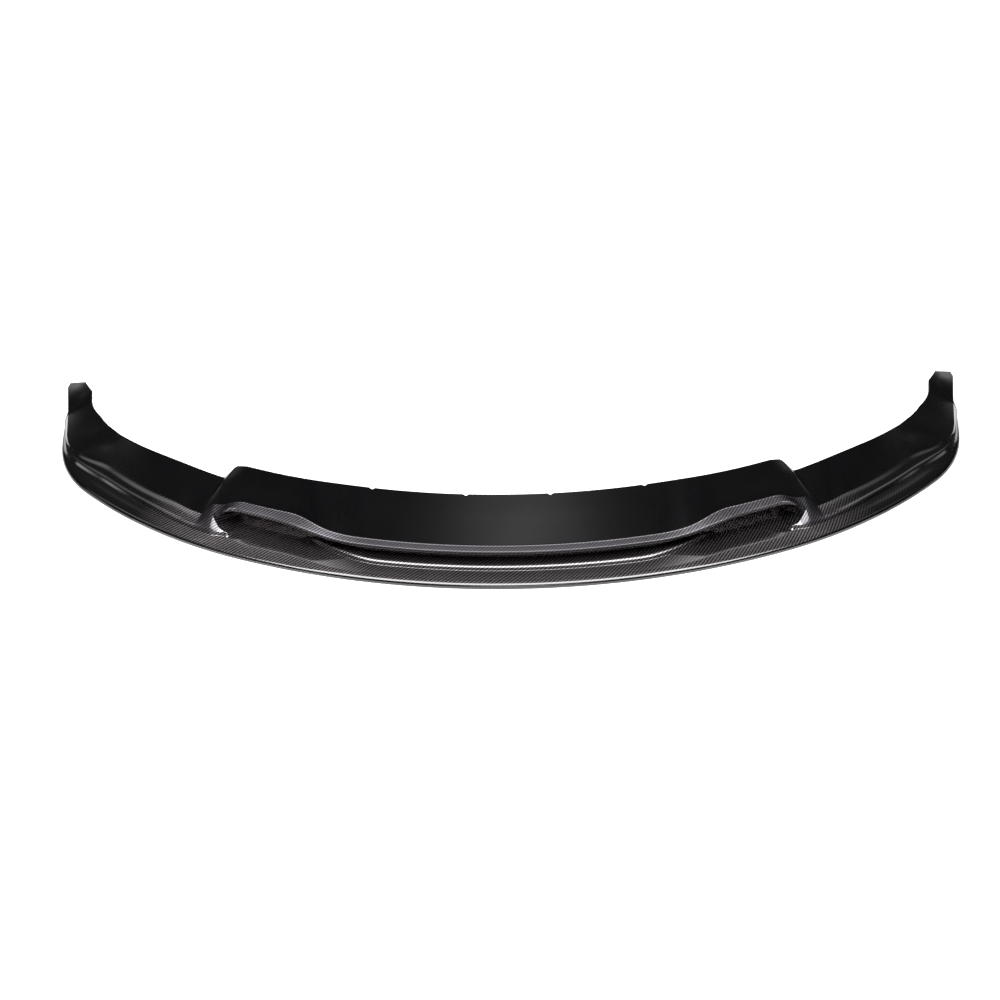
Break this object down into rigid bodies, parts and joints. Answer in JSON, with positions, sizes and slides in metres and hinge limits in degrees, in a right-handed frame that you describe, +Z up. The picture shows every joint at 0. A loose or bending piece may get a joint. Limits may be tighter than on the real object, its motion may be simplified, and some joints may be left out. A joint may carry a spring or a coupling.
{
  "type": "front splitter lip",
  "caption": "Carbon-look front splitter lip for a car's bumper: a curved blade with a raised centre tier, side inlets under a hood, stepped wings and end ears.",
  "frame": {"origin": "centre of the bounding box at the underside of the rim", "axes": "+X along the width to the right seen from the front, +Y back towards the car, +Z up"},
  "size_m": [1.685, 0.544, 0.118],
  "materials": {
    "carbon_laminate": "black twill carbon weave under a gloss clear coat, plain satin black above the flange's foot"
  },
  "bodies": {
    "root": {"splitter_lip": "carbon_laminate"}
  },
  "joints": []
}
